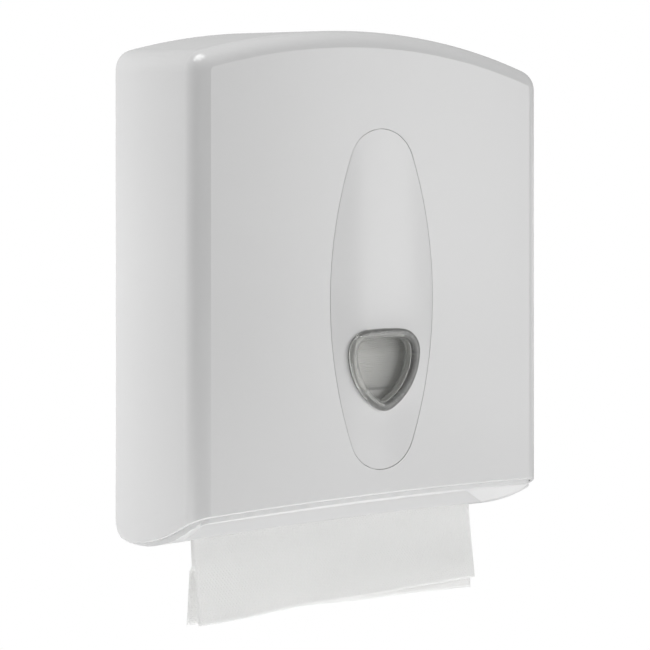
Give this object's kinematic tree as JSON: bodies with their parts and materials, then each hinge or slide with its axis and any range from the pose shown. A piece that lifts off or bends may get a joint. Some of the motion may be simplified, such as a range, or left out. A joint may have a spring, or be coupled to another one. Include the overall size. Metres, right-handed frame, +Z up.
{
  "type": "folded paper towel dispenser",
  "caption": "Wall-mounted dispenser for folded paper towels: hinged arched cover with an oval panel and window, keyed roof lock, chassis, and a tray with a towel slot.",
  "frame": {"origin": "centre of the four wall screw holes, on the wall plane at the back of the chassis", "axes": "+Z up, -Y out from the wall towards the front of the cover, +X to the right seen from the back"},
  "size_m": [0.3, 0.1344, 0.4301],
  "materials": {
    "cover": "gloss white",
    "panel": "satin white",
    "window": "smoked clear plastic",
    "retainer": "white",
    "lock_plastic": "white",
    "steel": "zinc plated",
    "chassis": "white",
    "tray": "white",
    "guide": "white",
    "paper": "embossed tissue"
  },
  "bodies": {
    "base": {"chassis": "chassis", "dispensing_tray": "tray", "tray_screws": "steel", "towel_guide_left": "guide", "towel_guide_right": "guide", "hinge_pin_left": "steel", "hinge_pin_right": "steel", "towel_stack": "paper", "leading_towel": "paper", "following_towel": "paper"},
    "cover": {"front_cover": "cover", "oval_panel": "panel", "viewing_window": "window", "window_retainer": "retainer", "lock_housing": "lock_plastic", "lock_washer": "steel", "lock_nut": "steel"},
    "lock": {"lock_core": "lock_plastic", "lock_cam": "steel", "cam_screw": "steel"}
  },
  "joints": [
    {"name": "cover_hinge", "type": "hinge", "parent": "base", "child": "cover", "pos_m": [0, -0.014, -0.1754], "axis": [1, 0, 0], "range_deg": [0, 95]},
    {"name": "lock_turn", "type": "hinge", "parent": "cover", "child": "lock", "pos_m": [0, -0.038, 0.17], "axis": [0, 0, -1], "range_deg": [0, 90]}
  ]
}
